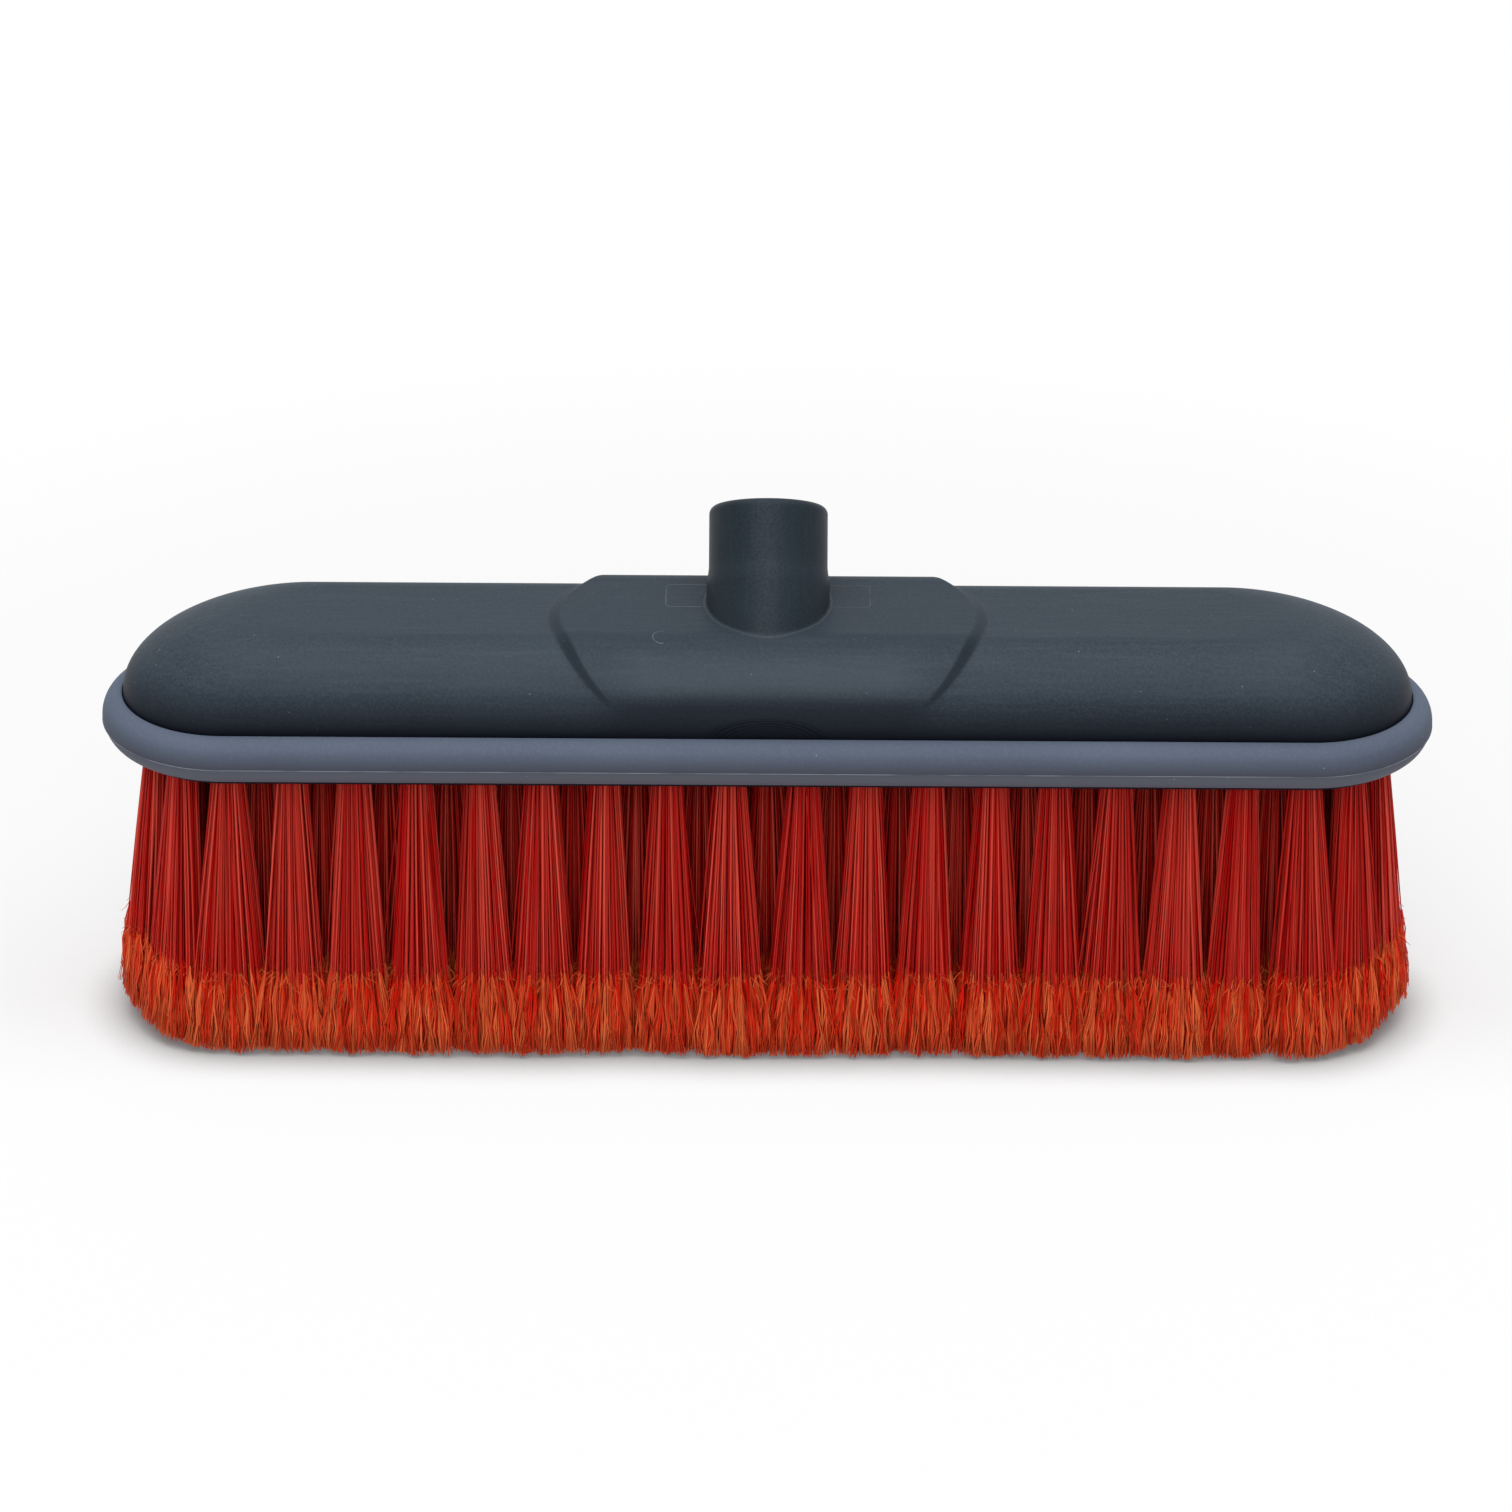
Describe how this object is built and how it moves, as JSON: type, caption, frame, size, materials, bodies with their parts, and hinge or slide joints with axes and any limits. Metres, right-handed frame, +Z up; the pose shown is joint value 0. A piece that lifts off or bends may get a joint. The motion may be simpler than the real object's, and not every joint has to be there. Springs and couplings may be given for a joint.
{
  "type": "solar panel cleaning brush head",
  "caption": "Soft washing brush head for solar panels: a long round-ended moulded block with a leaning handle socket, a rubber bumper ring and a deep field of flagged bristles.",
  "frame": {"origin": "on the floor at the middle of the brush, where the bristle tips stand", "axes": "+X along the brush, +Z up from the bristle tips to the handle socket, -Y the front that the picture shows; the socket leans back towards +Y"},
  "size_m": [0.31, 0.06, 0.1297],
  "materials": {
    "moulded_plastic": "dark slate blue-grey moulded polypropylene with a fine matt texture",
    "bumper_rubber": "mid blue-grey soft thermoplastic rubber, matt",
    "bristle_fibre": "red-orange filaments with split, paler tips"
  },
  "bodies": {
    "root": {"stock": "moulded_plastic", "bumper": "bumper_rubber", "left_bristles": "bristle_fibre", "middle_bristles": "bristle_fibre", "right_bristles": "bristle_fibre"}
  },
  "joints": []
}
